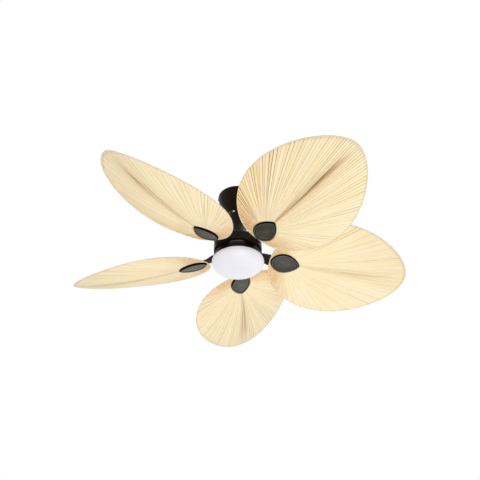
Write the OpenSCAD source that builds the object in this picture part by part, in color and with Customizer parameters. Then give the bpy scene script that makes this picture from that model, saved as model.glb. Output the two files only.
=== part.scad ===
// Five-blade palm-leaf ceiling fan with one light.
// The origin is the middle of the face that lies on the ceiling. +Z points up, so the fan hangs below.
// "drop" always means a distance below the ceiling.

/* [Leaf blades] */
// Diameter of the circle that the leaf tips sweep
sweep_d = 1320; // [1240:10:1420]
// Length of a leaf from its root to its tip
leaf_len = 541; // [500:1:580]
// Widest width of a leaf
leaf_w = 384; // [320:2:400]
// Thickness of the leaf sheet
leaf_t = 1.6; // [1.2:0.1:2.4]
// Number of pleats in one leaf
pleats = 52; // [36:2:60]
// Greatest depth of a pleat
pleat_depth = 5; // [2:0.5:8]
// Pitch of the leaf where it is clamped, in degrees
leaf_pitch = 21.5; // [12:0.5:24]
// Extra pitch gained from the clamp to the tip, in degrees
leaf_twist = 4; // [0:0.5:8]
// Droop of the clamped part of the leaf, in degrees
root_droop = 3; // [0:0.5:4]
// Rise of the tip above the straight line of the clamp
tip_lift = 54; // [0:1:70]
// Rise of the side edges above the midrib at the widest place
leaf_cup = 18; // [0:1:24]
// Drop of the midrib at the middle of the clamp
blade_drop = 274.5; // [272:0.5:280]
// Compass angle of the first blade, in degrees
first_blade = 15.2; // [0:0.1:71]

/* [Blade irons] */
// Length of the leaf-shaped clamp plate under a blade
pad_len = 110; // [100:1:116]
// Width of the leaf-shaped clamp plate
pad_w = 77; // [68:1:84]
// Thickness of the clamp plate at its crown
pad_t = 10; // [8:0.5:12]
// Radius of the clamp plate's crowned face
pad_crown_r = 400; // [320:10:600]
// Depth of the sunk field inside the clamp plate's rim
pad_field = 2; // [0.5:0.1:2.5]
// Distance from the root of a leaf to the middle of its clamp
leaf_in = 60; // [58:1:72]
// Width of the arm
arm_w = 48; // [40:1:54]
// Thickness of the arm
arm_t = 5; // [4:0.5:6]
// Length of the iron's palm on top of a blade
palm_len = 84; // [76:1:90]
// Width of the iron's palm
palm_w = 50; // [46:1:60]
// Thickness of the iron's palm
palm_t = 3; // [2:0.5:4]
// Shank radius of the blade screws
blade_screw_r = 2.4; // [2:0.1:2.8]
// Shank radius of the screws that hold the irons
iron_screw_r = 2.9; // [2.4:0.1:3.2]

/* [Canopy and hanger] */
// Radius of the canopy at the ceiling
canopy_r = 72; // [71:0.5:80]
// Radius of the canopy's mouth
canopy_mouth_r = 36; // [35:0.5:40]
// Height of the canopy
canopy_h = 80; // [78:1:90]
// Wall of the canopy
canopy_wall = 1.4; // [1:0.1:2]
// Thickness of the hanger bracket's steel
bracket_t = 2.5; // [2:0.1:3]
// Distance between the two ceiling slots
slot_spacing = 88.9; // [82:0.1:92]
// Width of a ceiling slot
slot_w = 5; // [4:0.1:6]
// End-to-end length of a ceiling slot
slot_len = 13; // [10:0.5:16]
// Drop of the hanger ball's centre
ball_drop = 52; // [50:0.5:54]
// Radius of the hanger ball
ball_r = 23; // [22:0.5:24]
// Outer radius of the downrod
rod_r = 10.65; // [10:0.05:11]
// Wall of the downrod
rod_wall = 2.3; // [1.8:0.1:3]

/* [Neck and motor housing] */
// Open gap between the canopy and the neck
neck_gap = 3.5; // [3:0.1:6]
// Radius of the neck's top
neck_top_r = 33; // [31:0.5:34]
// Radius of the neck's waist
neck_waist_r = 31; // [30:0.5:33]
// Radius of the neck's foot
neck_foot_r = 38.5; // [37:0.5:42]
// Height of the neck
neck_h = 92.5; // [88:0.5:100]
// Height of the bell above the drum
bell_h = 46; // [44:1:54]
// Radius of the drum
drum_r = 87; // [85:0.5:92]
// Height of the drum
drum_h = 36; // [34:1:42]
// Wall of the neck and the housing
shell_wall = 1.5; // [1.2:0.1:2]
// Open gap between the drum and the light pan, where the arms come out
arm_gap = 15; // [14:0.5:20]

/* [Motor] */
// Radius of the motor shaft
shaft_r = 7.5; // [7:0.1:8]
// Radius of the shaft's wire way
shaft_bore_r = 5; // [4:0.1:5.5]
// Outer radius of a bearing
bearing_r = 17.5; // [16:0.5:19]
// Width of a bearing
bearing_w = 11; // [9:0.5:12]
// Outer radius of the stator
stator_r = 52; // [48:0.5:54]
// Height of the stator's laminations
stator_h = 14; // [10:1:16]
// Teeth of the stator
teeth = 12; // [9:3:12]
// Outer radius of the rotor shell
rotor_r = 66; // [65:0.5:67]
// Radius of the flywheel
flywheel_r = 76; // [75:0.5:77]
// Thickness of the flywheel
flywheel_t = 5; // [4:0.5:6]

/* [Light] */
// Radius of the light pan
pan_r = 87.5; // [86:0.5:92]
// Height of the light pan
pan_h = 25; // [24:1:34]
// Radius of the shade's edge
shade_r = 94; // [92:0.5:98]
// Height of the shade's edge
shade_edge_h = 5.5; // [4:0.5:8]
// Depth of the shade's bowl
shade_depth = 34; // [26:1:40]
// Wall of the shade
shade_wall = 2.2; // [1.6:0.1:3]
// Turn that frees the shade, in degrees
shade_turn = 20; // [16:1:30]

/* [Hidden] */

// Finishes
bronze = "#1f1916";
bronze_lit = "#46403c";
leaf_tan = "#f2dfb4";
nickel = "#c9c7c2";
steel = "#8d9094";
opal = "#ecebf0";

// Clearances
fit_gap = 0.05;         // a running fit on a bearing
rod_gap = 0.1;          // a rod or pin in its hole
seat_gap = 0.15;        // the ball in its seat
screw_gap = 0.3;        // a screw through a clearance hole
thread_gap = 0.05;      // a screw in its threaded hole
skin_gap = 0.3;         // faces of bodies that pass each other
round_fn = 96;          // facets that only the preview shows
crown_fn = 360;         // the same for the wide sphere of a pad's crown

full_turn = 360;        // in degrees
blade_count = 5;
blade_step = full_turn / blade_count;

// ---- heights, as drops below the ceiling
neck_drop = canopy_h + neck_gap;
shoulder_drop = neck_drop + neck_h;
drum_top = shoulder_drop + bell_h;
drum_bottom = drum_top + drum_h;
flywheel_proud = 4;
iron_drop = drum_bottom + flywheel_proud;
flywheel_top = iron_drop - flywheel_t;
pan_top = drum_bottom + arm_gap;
pan_bottom = pan_top + pan_h;
shade_top = pan_bottom + skin_gap;
shade_rim = shade_top + shade_edge_h;

// =====================================================================
// Leaf blades: pleats fan out from one point under the clamp
// =====================================================================
// lengths along a leaf are measured in the blade's frame, from the middle of the clamp
leaf_root = -leaf_in;
clamp_s = sweep_d / 2 - leaf_len + leaf_in;     // from the fan's axis to the middle of the clamp
leaf_full = 0.82;                               // where along its length a leaf is widest
leaf_blunt = 0.54;                              // how blunt a leaf's ends are
palm_x = -5;                                    // the point that the pleats fan from
pad_shift = 1;                                  // the pad's middle is this far inside the clamp's
flat_r = pad_len / 2 - pad_shift - palm_x + 1;  // the leaf lies flat within this of the palm point
flat_most = 0.97;                               // but never for more than this share of the way to the edge
fold_fade = 60;                                 // the pleats grow to their depth over this distance
free_x = palm_x + flat_r;
leaf_tip = leaf_root + leaf_len;

// Half width of a leaf outline, u running from 0 at the root to 1 at the tip
function leaf_half(u, w, full, blunt) = w / 2 * pow(max(0, sin(180 * pow(u, full))), blunt);

// A point of the leaf's outline, a running from 0 at the tip round to 360
function leaf_edge(a) =
    let (u = (1 + cos(a)) / 2, side = sin(a) < 0 ? -1 : 1)
    [leaf_root + leaf_len * u, side * leaf_half(u, leaf_w, leaf_full, leaf_blunt)];

// Share of the way out from the flat patch to the widest place
function past_flat(y) = max(0, abs(y) - flat_r) / (leaf_w / 2 - flat_r);

// Height of the bowed and cupped leaf, and its place after the twist
cup_power = 1.3;
function leaf_rise(x, y) =
    let (out = max(0, x - free_x) / (leaf_tip - free_x))
    tip_lift * out * out + leaf_cup * pow(past_flat(y), cup_power);
function leaf_point(x, y, dz) =
    let (turn = leaf_twist * max(0, x - free_x) / (leaf_tip - free_x), z = leaf_rise(x, y) + dz)
    [x, y * cos(turn) + z * sin(turn), z * cos(turn) - y * sin(turn)];

// Width of the pleat at column j of the fan, measured along the edge
columns = 2 * round(pleats);                    // a column of points for every crease
function column_angle(j) = full_turn * j / columns;
function pleat_width(j) = norm(leaf_edge(column_angle(j + 1)) - leaf_edge(column_angle(j - 1)));

// Depth of a pleat at a share k of the way to the edge: it is deepest inside the sewn edge
rings = [0, 0.34, 0.68, 1];
fold_shares = [0, 0.8, 1, 0.25];
function fold_depth(i, j, past) =
    pleat_depth * fold_shares[i] * min(1, past / fold_fade) * pleat_width(j) / pleat_width(columns / 4);

// Ring i of the sheet, with one point for each column j of the fan
function leaf_ring(i, face) =
    [for (j = [0 : columns - 1])
        let (edge = leaf_edge(column_angle(j)),
             far = norm(edge - [palm_x, 0]),
             flat = min(flat_most, flat_r / far),
             f = flat + (1 - flat) * rings[i],
             p = [palm_x, 0] + f * (edge - [palm_x, 0]),
             fold = (j % 2 == 0 ? -0.5 : 0.5) * fold_depth(i, j, (f - flat) * far))
        leaf_point(p[0], p[1], fold + face * leaf_t / 2)];

module leaf_sheet() {
    n = columns;
    m = len(rings);
    points = [for (face = [1, -1]) for (i = [0 : m - 1]) each leaf_ring(i, face)];
    top_fan = [for (j = [n - 1 : -1 : 0]) j];
    under_fan = [for (j = [0 : n - 1]) m * n + j];
    // each strip between two rings, as two triangles a column, for the top and for the underside
    strips = [for (i = [0 : m - 2]) for (j = [0 : n - 1])
        let (a = i * n + j, b = i * n + (j + 1) % n, c = a + n, d = b + n, u = m * n)
        each [[a, b, c], [b, d, c], [u + a, u + c, u + b], [u + b, u + c, u + d]]];
    rim = [for (j = [0 : n - 1])
        let (a = (m - 1) * n + j, b = (m - 1) * n + (j + 1) % n, u = m * n)
        each [[a, b, u + a], [b, u + b, u + a]]];
    polyhedron(points, concat([top_fan, under_fan], strips, rim), convexity = 6);
}

// Puts its children in a blade's frame: x outwards, z square to the clamped leaf
module on_blade(i) {
    rotate([0, 0, first_blade + blade_step * (i - 1)])
        translate([clamp_s, 0, -blade_drop])
            rotate([-leaf_pitch, 0, 0])
                rotate([0, root_droop, 0])
                    children();
}

// The three blade screws, in the blade's frame
screw_places = [[-28, 0], [12, 14], [12, -14]];
pad_inner = -pad_len / 2 - pad_shift;
thread_depth = 4;

module at_screws() {
    for (p = screw_places)
        translate([p[0], p[1], 0]) children();
}

module blade(i) {
    color(leaf_tan)
        on_blade(i)
            difference() {
                leaf_sheet();
                at_screws()
                    cylinder(r = blade_screw_r + screw_gap, h = 4 * leaf_t, center = true, $fn = 32);
            }
}

// =====================================================================
// Blade irons: a flat foot on the flywheel, a twisted arm and a palm on top of the leaf,
// with a leaf-shaped clamp plate under the leaf
// =====================================================================
foot_in = 57;                                   // where the foot begins
foot_out = drum_r + 6;                          // the foot is flat until it is clear of the drum
foot_screw_s = (foot_in + rotor_r) / 2 + 6;
foot_screw_y = 14;
section_l = 3;                                  // length of each section that the arm runs through
bend_x = leaf_root - section_l - 1;             // the arm has its full twist just short of the leaf's root
root_gap = 0.6;                                 // the arm stays this far above the leaf's root
root_w = arm_w - 4;                             // the arm's width at the leaf's root
neck_w = arm_w - 12;                            // and where it runs into the palm
head_room = 2;                                  // the arm ends this far short of the first screw's head
pad_full = 0.82;
pad_blunt = 0.66;
field_share = 0.84;

module pad_outline(share = 1) {
    n = 24;
    side = [for (i = [0 : n]) let (u = (1 - cos(180 * i / n)) / 2)
        share * [pad_inner + pad_len * u, leaf_half(u, pad_w, pad_full, pad_blunt)]];
    polygon(concat(side, [for (i = [n - 1 : -1 : 1]) [side[i][0], -side[i][1]]]));
}

// The clamp plate: flat on top, crowned below, with a sunk field inside a raised rim
module pad() {
    under = -leaf_t / 2 - pad_t;
    difference() {
        intersection() {
            translate([0, 0, under - 1]) linear_extrude(pad_t + 1) pad_outline();
            translate([0, 0, under + pad_crown_r]) sphere(pad_crown_r, $fn = crown_fn);
        }
        difference() {
            translate([0, 0, under - 1]) linear_extrude(pad_t) pad_outline(field_share);
            translate([0, 0, under + pad_field + pad_crown_r]) sphere(pad_crown_r, $fn = crown_fn);
        }
        at_screws()
            translate([0, 0, -leaf_t / 2 - thread_depth])
                cylinder(r = blade_screw_r + thread_gap, h = thread_depth + 1, $fn = 32);
    }
}

module foot() {
    translate([0, 0, -iron_drop - arm_t])
        linear_extrude(arm_t)
            difference() {
                union() {
                    translate([foot_in + 8, -arm_w / 2]) square([foot_out - foot_in - 8, arm_w]);
                    translate([foot_in, -arm_w / 2 + 8]) square([foot_out - foot_in, arm_w - 16]);
                    for (y = [-1, 1])
                        translate([foot_in + 8, y * (arm_w / 2 - 8)]) circle(8, $fn = 48);
                }
                for (y = [-1, 1])
                    translate([foot_screw_s, y * foot_screw_y]) circle(iron_screw_r + screw_gap, $fn = 32);
            }
}

// The arm turns to the leaf's pitch before it reaches the leaf's root, then runs over it into the palm
module arm() {
    arm_end = screw_places[0][0] - head_share * blade_screw_r - head_room - section_l;
    hull() {
        translate([foot_out - section_l, -arm_w / 2, -iron_drop - arm_t]) cube([section_l, arm_w, arm_t]);
        arm_section(bend_x, root_w);
    }
    hull() {
        arm_section(bend_x, root_w);
        arm_section(arm_end, neck_w);
    }
}
module arm_section(x, w) {
    translate([clamp_s, 0, -blade_drop])
        rotate([-leaf_pitch, 0, 0])
            rotate([0, root_droop, 0])
                translate([x, -w / 2, leaf_t / 2 + root_gap]) cube([section_l, w, arm_t]);
}

// The palm lies flat on top of the leaf and takes the heads of the blade screws
module palm() {
    share = palm_len / pad_len;
    neck_l = palm_len / 4;
    translate([0, 0, leaf_t / 2])
        linear_extrude(palm_t)
            difference() {
                union() {
                    intersection() {
                        pad_outline(share);
                        square([2 * palm_len, palm_w], center = true);
                    }
                    translate([share * pad_inner, -neck_w / 2]) square([neck_l, neck_w]);
                }
                for (p = screw_places)
                    translate(p) circle(blade_screw_r + screw_gap, $fn = 32);
            }
}

module blade_iron(i) {
    color(bronze_lit) {
        rotate([0, 0, first_blade + blade_step * (i - 1)]) {
            foot();
            arm();
        }
        on_blade(i) palm();
    }
}

module clamp_plate(i) {
    color(bronze_lit)
        on_blade(i) pad();
}

module blade_screws() {
    color(nickel)
        for (i = [1 : blade_count])
            on_blade(i)
                at_screws()
                    pan_head_screw(blade_screw_r, palm_t + leaf_t + thread_depth - 0.5, leaf_t / 2 + palm_t);
}

head_share = 1.9;   // a screw head's radius over its shank's
// A pan-head screw whose shank runs down from the seat height z
module pan_head_screw(r, length, z) {
    head_r = head_share * r;
    head_h = 1.15 * r;
    translate([0, 0, z])
        difference() {
            union() {
                rotate_extrude($fn = 48)
                    polygon([[0, 0], [head_r, 0], [head_r, head_h * 0.55], [head_r * 0.8, head_h * 0.9],
                             [head_r * 0.45, head_h], [0, head_h]]);
                translate([0, 0, -length]) cylinder(r = r, h = length + 0.1, $fn = 48);
            }
            for (a = [0, 90])
                rotate([0, 0, a])
                    translate([-head_r * 0.55, -r * 0.18, head_h * 0.45])
                        cube([head_r * 1.1, r * 0.36, head_h]);
        }
}

// =====================================================================
// Ceiling side: bracket, canopy and receiver
// =====================================================================
canopy_curve = 1.7;
plate_w = 44;
wire_notch_r = 8;
plate_half = slot_spacing / 2 + slot_len / 2 + 5;
tab_w = 16;
tab_x = canopy_r - canopy_wall - 2.4;
tab_h = 12;
leg_x = ball_r + 7;
leg_w = 26;
seat_h = 10;
seat_top = ball_drop + 6;
seat_bottom = seat_top + seat_h;
throat_gap = 4.5;       // from the rod to the throat of the seat, so that the rod can tilt
seat_side = 6;          // the seat stands this far past the legs on each side
cut = 1;                // a cut starts this far outside what it cuts
canopy_screw_r = 2;
canopy_screw_drop = 8;
canopy_steps = 14;

function canopy_r_at(drop) = canopy_r - (canopy_r - canopy_mouth_r) * pow(drop / canopy_h, canopy_curve);

module slot(length, width) {
    for (x = [-1, 1])
        translate([x * (length - width) / 2, 0]) circle(width / 2, $fn = 32);
    square([length - width, width], center = true);
}

module mounting_bracket() {
    color(nickel) {
        translate([0, 0, -bracket_t])
            linear_extrude(bracket_t)
                difference() {
                    union() {
                        square([2 * plate_half, plate_w], center = true);
                        square([2 * tab_x, tab_w], center = true);
                    }
                    for (x = [-1, 1])
                        translate([x * slot_spacing / 2, 0]) slot(slot_len, slot_w);
                    // notches for the supply wires
                    for (y = [-1, 1])
                        translate([0, y * plate_w / 2]) circle(wire_notch_r, $fn = 48);
                }
        // end tabs that the canopy is screwed to
        for (x = [-1, 1])
            difference() {
                translate([x * (tab_x - bracket_t / 2), 0, -tab_h / 2])
                    cube([bracket_t, tab_w, tab_h], center = true);
                translate([x * tab_x, 0, -canopy_screw_drop])
                    rotate([0, 90, 0])
                        cylinder(r = canopy_screw_r + thread_gap, h = 4 * bracket_t, center = true, $fn = 32);
            }
        // legs down to the seat
        for (x = [-1, 1])
            translate([x * (leg_x - bracket_t / 2), 0, -seat_bottom / 2])
                cube([bracket_t, leg_w, seat_bottom], center = true);
        ball_seat();
    }
}

// A ring with a spherical seat, open on one side so that the ball and its rod can be slipped in
module ball_seat() {
    throat_r = rod_r + throat_gap;
    cut_h = 2 * seat_h;
    difference() {
        translate([0, 0, -seat_bottom]) cylinder(r = leg_x, h = seat_h, $fn = round_fn);
        translate([0, 0, -ball_drop]) sphere(ball_r + seat_gap, $fn = round_fn);
        translate([0, 0, -seat_bottom - cut]) cylinder(r = throat_r, h = cut_h, $fn = round_fn);
        translate([-throat_r, 0, -seat_bottom - cut]) cube([2 * throat_r, 2 * leg_x, cut_h]);
        for (y = [-1, 1])
            translate([-leg_x, y > 0 ? leg_w / 2 + seat_side : -leg_x - leg_w / 2 - seat_side, -seat_bottom - cut])
                cube([2 * leg_x, leg_x, cut_h]);
    }
    // the key that stops the ball from turning
    translate([-ball_r - key_root, -key_w / 2, -seat_bottom]) cube([key_reach + key_root, key_w, seat_h]);
}
key_w = 3.4;
key_reach = 5;
key_root = 1.5;     // the key starts this far inside the seat's wall
key_room = 1.4;     // the key's room in its way, so that the ball can tilt

module canopy() {
    color(bronze)
        difference() {
            rotate_extrude($fn = round_fn)
                polygon(concat(
                    [for (i = [0 : canopy_steps])
                        let (drop = canopy_h * i / canopy_steps) [canopy_r_at(drop), -drop]],
                    [for (i = [canopy_steps : -1 : 0])
                        let (drop = canopy_h * i / canopy_steps) [canopy_r_at(drop) - canopy_wall, -drop]]));
            for (x = [-1, 1])
                translate([x * canopy_r, 0, -canopy_screw_drop])
                    rotate([0, 90, 0])
                        cylinder(r = canopy_screw_r + screw_gap, h = 12, center = true, $fn = 32);
        }
}

module canopy_screws() {
    seat_x = canopy_r_at(canopy_screw_drop - head_share * canopy_screw_r);   // the head meets the slope at its top
    color(bronze)
        for (a = [0, 180])
            rotate([0, 0, a])
                translate([seat_x, 0, -canopy_screw_drop])
                    rotate([0, 90, 0])
                        pan_head_screw(canopy_screw_r, seat_x - tab_x + bracket_t + 1, 0);
}

module receiver_module() {
    box = [2 * (leg_x - bracket_t) - 4, 34, 17];
    color("#2b2d30")
        translate([0, 0, -bracket_t - box[2] / 2]) {
            cube([box[0], box[1] - 3, box[2]], center = true);
            cube([box[0] - 3, box[1], box[2]], center = true);
            translate([0, 0, -box[2] / 2 + 1]) cube([box[0] - 12, box[1] - 12, 3], center = true);
        }
}

// =====================================================================
// Hanger: ball, downrod, pins, neck and yoke
// =====================================================================
pin_r = 3;
rod_top = ball_drop - ball_r - 3;
yoke_rise = 26;         // the yoke reaches this far above the shoulder
yoke_foot = 12;         // and this far below it
rod_seat = 22;          // the rod goes this far into the yoke
yoke_top = shoulder_drop - yoke_rise;
yoke_bottom = shoulder_drop + yoke_foot;
yoke_r = 19;
yoke_flange_r = 30;
yoke_flange_t = 4;
rod_bottom = yoke_top + rod_seat;
shaft_top = rod_bottom + 2;
pin_drop = yoke_top + rod_seat / 2;
set_screw_drop = yoke_top + 4;
set_screw_r = 2.5;

module hanger_ball() {
    color("#3a3a3c")
        translate([0, 0, -ball_drop])
            difference() {
                intersection() {
                    sphere(ball_r, $fn = round_fn);
                    cylinder(r = 2 * ball_r, h = 2 * (ball_r - 2), center = true);
                }
                cylinder(r = rod_r + rod_gap, h = 3 * ball_r, center = true, $fn = 64);
                rotate([90, 0, 0])
                    cylinder(r = pin_r + rod_gap, h = 3 * ball_r, center = true, $fn = 32);
                // keyway
                translate([-3 * ball_r + key_reach + key_room, -key_w / 2 - key_room, -2 * ball_r])
                    cube([2 * ball_r, key_w + 2 * key_room, 2 * ball_r + 2]);
            }
}

module ball_pin() {
    color(steel)
        translate([0, 0, -ball_drop])
            rotate([90, 0, 0])
                cylinder(r = pin_r, h = 2 * ball_r - 5, center = true, $fn = 32);
}

module downrod() {
    color("#2a2422")
        difference() {
            translate([0, 0, -rod_bottom])
                difference() {
                    cylinder(r = rod_r, h = rod_bottom - rod_top, $fn = 64);
                    translate([0, 0, -1])
                        cylinder(r = rod_r - rod_wall, h = rod_bottom - rod_top + 2, $fn = 64);
                }
            for (drop = [ball_drop, pin_drop])
                translate([0, 0, -drop])
                    rotate([90, 0, 0])
                        cylinder(r = pin_r + rod_gap, h = 4 * rod_r, center = true, $fn = 32);
        }
}

waist_share = 0.5;
neck_steps = 16;
function neck_r_at(share) = share < waist_share
    ? neck_waist_r + (neck_top_r - neck_waist_r) * pow(1 - share / waist_share, 2)
    : neck_waist_r + (neck_foot_r - neck_waist_r) * pow((share - waist_share) / (1 - waist_share), 2.4);
cover_screw_drop = neck_drop + 5.5;
cover_screw_r = 2.2;
cover_screw_angle = 246;
collar_h = 9;
collar_drop = neck_drop + shell_wall;
function neck_inner_at(drop) = neck_r_at((drop - neck_drop) / neck_h) - shell_wall;

module coupling_cover() {
    rounding = 1.2;
    hole_r = rod_r + screw_gap;
    color(bronze)
        difference() {
            rotate_extrude($fn = round_fn)
                polygon(concat(
                    [[hole_r, -neck_drop], [neck_top_r - rounding, -neck_drop]],
                    [for (i = [1 : neck_steps])
                        let (share = i / neck_steps) [neck_r_at(share), -neck_drop - neck_h * share]],
                    [for (i = [neck_steps : -1 : 1])
                        let (share = i / neck_steps)
                        [neck_r_at(share) - shell_wall, -neck_drop - neck_h * share]],
                    [[neck_inner_at(collar_drop + 1), -neck_drop - shell_wall],
                     [hole_r, -neck_drop - shell_wall]]));
            at_cover_screws()
                cylinder(r = cover_screw_r + screw_gap, h = 14, center = true, $fn = 32);
        }
}

module at_cover_screws() {
    for (a = [0, 180])
        rotate([0, 0, cover_screw_angle + a])
            translate([neck_inner_at(cover_screw_drop) + shell_wall, 0, -cover_screw_drop])
                rotate([0, 90, 0])
                    children();
}

// Clamps the top of the neck to the downrod
module cover_collar() {
    collar_r = neck_inner_at(collar_drop + collar_h) - skin_gap;
    color(bronze)
        difference() {
            translate([0, 0, -collar_drop - collar_h])
                difference() {
                    cylinder(r = collar_r, h = collar_h, $fn = round_fn);
                    translate([0, 0, -1]) cylinder(r = rod_r + rod_gap, h = collar_h + 2, $fn = 64);
                }
            at_cover_screws()
                cylinder(r = cover_screw_r + thread_gap, h = 2 * (neck_top_r - rod_r - 6), center = true, $fn = 32);
        }
}

module cover_screws() {
    color("#f4f3ef")
        at_cover_screws()
            pan_head_screw(cover_screw_r, neck_top_r - rod_r - 8, 0);
}

// The cast yoke holds the downrod above and the motor shaft below
module motor_yoke() {
    snout_r = shaft_r + 3;
    color("#4b4d50")
        difference() {
            rotate_extrude($fn = 64)
                polygon([[0, -yoke_top], [yoke_r - 2, -yoke_top], [yoke_r, -yoke_top - 2],
                         [yoke_r, -yoke_bottom + yoke_flange_t + 2],
                         [yoke_r + 1.5, -yoke_bottom + yoke_flange_t],
                         [yoke_flange_r, -yoke_bottom + yoke_flange_t], [yoke_flange_r, -yoke_bottom],
                         [snout_r, -yoke_bottom], [snout_r, -upper_bearing_top],
                         [0, -upper_bearing_top]]);
            translate([0, 0, -rod_bottom])
                cylinder(r = rod_r + rod_gap, h = rod_bottom - yoke_top + 1, $fn = 64);
            translate([0, 0, -upper_bearing_top - 1])
                cylinder(r = shaft_r + rod_gap, h = upper_bearing_top - rod_bottom + 2, $fn = 64);
            translate([0, 0, -pin_drop])
                rotate([90, 0, 0]) cylinder(r = pin_r + rod_gap, h = 3 * yoke_r, center = true, $fn = 32);
            for (x = [-1, 1])
                translate([x * (rod_r + yoke_r) / 2, 0, -set_screw_drop])
                    rotate([0, 90, 0])
                        cylinder(r = set_screw_r + thread_gap, h = yoke_r, center = true, $fn = 32);
            at_housing_screws()
                cylinder(r = housing_screw_r + screw_gap, h = 4 * yoke_flange_t, center = true, $fn = 32);
        }
}

pin_head_h = 2.5;
pin_tail = 4.5;
module coupling_pin() {
    color(steel)
        translate([0, -yoke_r - pin_head_h, -pin_drop])
            rotate([-90, 0, 0])
                difference() {
                    union() {
                        cylinder(r = pin_r + 1.8, h = pin_head_h, $fn = 48);
                        cylinder(r = pin_r, h = pin_head_h + 2 * yoke_r + pin_tail, $fn = 48);
                    }
                    translate([0, 0, pin_head_h + 2 * yoke_r + clip_gap])
                        difference() {
                            cylinder(r = 2 * pin_r, h = clip_w, $fn = 48);
                            translate([0, 0, -1]) cylinder(r = pin_r - clip_bite, h = clip_w + 2, $fn = 48);
                        }
                }
}
clip_gap = 0.6;
clip_w = 1.4;
clip_bite = 0.8;

// A spring clip in the pin's groove
module pin_clip() {
    color(nickel)
        translate([0, yoke_r + clip_gap + 0.1, -pin_drop])
            rotate([-90, 0, 0])
                linear_extrude(clip_w - 0.2)
                    difference() {
                        circle(pin_r + 2.2, $fn = 48);
                        circle(pin_r - clip_bite + 0.1, $fn = 48);
                        translate([0, -1.4]) square([3 * pin_r, 2.8]);
                    }
}

module yoke_set_screws() {
    color(steel)
        for (a = [0, 180])
            rotate([0, 0, a])
                translate([rod_r + 0.1, 0, -set_screw_drop])
                    rotate([0, 90, 0])
                        difference() {
                            cylinder(r = set_screw_r, h = yoke_r - rod_r + 1.5, $fn = 32);
                            translate([0, 0, yoke_r - rod_r])
                                cylinder(r = set_screw_r * 0.55, h = 3, $fn = 6);
                        }
}

// =====================================================================
// Motor housing: a bell that runs into a drum
// =====================================================================
bell_steps = 12;
bell_curve = 0.85;
drum_edge = 5;
lip_r = 81;
flange_drop = yoke_bottom;
flange_in = 14;
housing_screw_r = 2;
housing_screw_pcr = 25;

// The bell's outer radius at a share of its height, 0 at the shoulder and 1 at the drum
function bell_r_at(share) = neck_foot_r + (drum_r - neck_foot_r) * pow(share, 1 / bell_curve);
function bell_drop_at(share) = shoulder_drop + bell_h * share;
flange_share = (flange_drop + shell_wall - shoulder_drop) / bell_h;
flange_out = bell_r_at(flange_share) - shell_wall / 2;

module at_housing_screws() {
    for (a = [30, 150, 270])
        rotate([0, 0, a]) translate([housing_screw_pcr, 0, -yoke_bottom]) children();
}

module upper_housing() {
    corner = [for (i = [0 : 4]) let (a = 90 * i / 4)
        [drum_r - drum_edge + drum_edge * sin(a), -drum_top - drum_edge + drum_edge * cos(a)]];
    bell_top = 1 - drum_edge / bell_h;
    color(bronze)
        difference() {
            union() {
                rotate_extrude($fn = round_fn)
                    polygon(concat(
                        [for (i = [0 : bell_steps])
                            let (share = bell_top * i / bell_steps)
                            [bell_r_at(share) - (i == 0 ? 0.2 : 0), -bell_drop_at(share)]],
                        [corner[2], corner[3], corner[4]],
                        [[drum_r, -drum_bottom + 2], [drum_r - 2, -drum_bottom], [lip_r, -drum_bottom],
                         [lip_r, -drum_bottom + shell_wall], [drum_r - shell_wall, -drum_bottom + 3]],
                        [[drum_r - shell_wall, corner[4][1]], [drum_r - shell_wall - 1.6, corner[4][1] + 4]],
                        [for (i = [bell_steps : -1 : 0])
                            let (share = bell_top * i / bell_steps)
                            [bell_r_at(share) - 2 * shell_wall, -bell_drop_at(share)]]));
                // the inner flange under the yoke
                translate([0, 0, -flange_drop - shell_wall]) cylinder(r = flange_out, h = shell_wall, $fn = round_fn);
            }
            translate([0, 0, -flange_drop - 2 * shell_wall])
                cylinder(r = flange_in, h = 4 * shell_wall, $fn = 64);
            at_housing_screws()
                cylinder(r = housing_screw_r + thread_gap, h = 12, center = true, $fn = 32);
        }
}

module housing_screws() {
    color(nickel)
        at_housing_screws()
            pan_head_screw(housing_screw_r, yoke_flange_t + shell_wall + 2, yoke_flange_t);
}

// =====================================================================
// Motor: a fixed shaft and stator inside a turning rotor
// =====================================================================
lip_t = 2;                                       // lip that holds a bearing in its seat
lower_bearing_bottom = iron_drop - lip_t - 1;
lower_bearing_top = lower_bearing_bottom - bearing_w;
motor_h = 50;
shell_top = iron_drop - motor_h;
shell_t = 4;
upper_bearing_top = shell_top - 6;
upper_bearing_bottom = upper_bearing_top + bearing_w;
boss_r = bearing_r + 4.5;
lip_hole_r = shaft_r + 5;
shaft_bottom = pan_top + 12;
journal_r = shaft_r + 2;                         // the shaft is thicker between the bearings
stator_mid = (upper_bearing_bottom + lower_bearing_top) / 2 + 1;
air_gap = 0.6;
ring_in = stator_r + air_gap;
ring_h = stator_h + 6;
tooth_w = 8;
hub_r = stator_r / 2;
coil_w = 14;
coil_rise = 5;
shoe_t = 3;

module motor_shaft() {
    color(steel)
        rotate_extrude($fn = 64)
            polygon([[shaft_bore_r, -shaft_top], [shaft_r, -shaft_top],
                     [shaft_r, -upper_bearing_bottom], [journal_r, -upper_bearing_bottom],
                     [journal_r, -lower_bearing_top], [shaft_r, -lower_bearing_top],
                     [shaft_r, -shaft_bottom], [shaft_bore_r, -shaft_bottom]]);
}

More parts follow.
